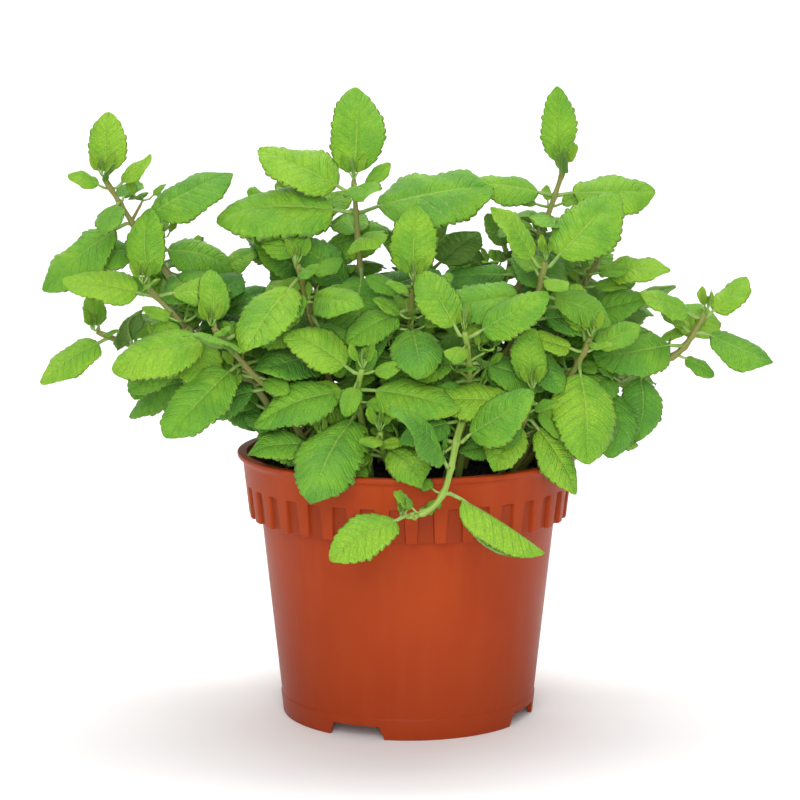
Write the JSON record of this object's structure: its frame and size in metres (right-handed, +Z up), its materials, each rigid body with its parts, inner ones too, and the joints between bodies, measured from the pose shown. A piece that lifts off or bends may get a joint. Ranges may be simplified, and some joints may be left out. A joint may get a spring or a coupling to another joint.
{
  "type": "potted mint plant",
  "caption": "Bushy mint plant with square stems and opposite serrated leaves, growing in soil in a round tapered plastic nursery pot with a ribbed collar.",
  "frame": {"origin": "on the ground under the pot, on the pot's own axis, which is the middle of the object's footprint to within 1 mm", "axes": "+Z up along the pot's axis, +X to the right of the side where the foliage spills over the rim, -Y out of that side; X is the widest spread of the foliage"},
  "size_m": [0.2998, 0.1967, 0.2567],
  "materials": {
    "pot_plastic": "terracotta-brown injection-moulded plastic, satin to gloss",
    "peat_soil": null,
    "stem": null,
    "leaf": null
  },
  "bodies": {
    "root": {"pot": "pot_plastic", "soil": "peat_soil", "sprig_back_centre": "leaf", "sprig_back_left": "leaf", "sprig_back_left_low": "leaf", "sprig_back_low": "leaf", "sprig_back_right": "leaf", "sprig_back_right_low": "leaf", "sprig_behind_left": "leaf", "sprig_bottom_centre": "leaf", "sprig_centre_high": "leaf", "sprig_centre_left": "leaf", "sprig_centre_right": "leaf", "sprig_crown_tall": "leaf", "sprig_far_left_high": "leaf", "sprig_far_left_low": "leaf", "sprig_far_right": "leaf", "sprig_front_spill": "leaf", "sprig_left_back": "leaf", "sprig_left_back_low": "leaf", "sprig_left_centre": "leaf", "sprig_left_front": "leaf", "sprig_left_high_front": "leaf", "sprig_left_low_front": "leaf", "sprig_right_back_low": "leaf", "sprig_right_back_mid": "leaf", "sprig_right_centre": "leaf", "sprig_right_front": "leaf", "sprig_right_high": "leaf", "sprig_right_upper": "leaf", "stem_back_centre": "stem", "stem_back_left": "stem", "stem_back_left_low": "stem", "stem_back_low": "stem", "stem_back_right": "stem", "stem_back_right_low": "stem", "stem_behind_left": "stem", "stem_bottom_centre": "stem", "stem_centre_high": "stem", "stem_centre_left": "stem", "stem_centre_right": "stem", "stem_crown_tall": "stem", "stem_far_left_high": "stem", "stem_far_left_low": "stem", "stem_far_right": "stem", "stem_front_spill": "stem", "stem_left_back": "stem", "stem_left_back_low": "stem", "stem_left_centre": "stem", "stem_left_front": "stem", "stem_left_high_front": "stem", "stem_left_low_front": "stem", "stem_right_back_low": "stem", "stem_right_back_mid": "stem", "stem_right_centre": "stem", "stem_right_front": "stem", "stem_right_high": "stem", "stem_right_upper": "stem"}
  },
  "joints": []
}
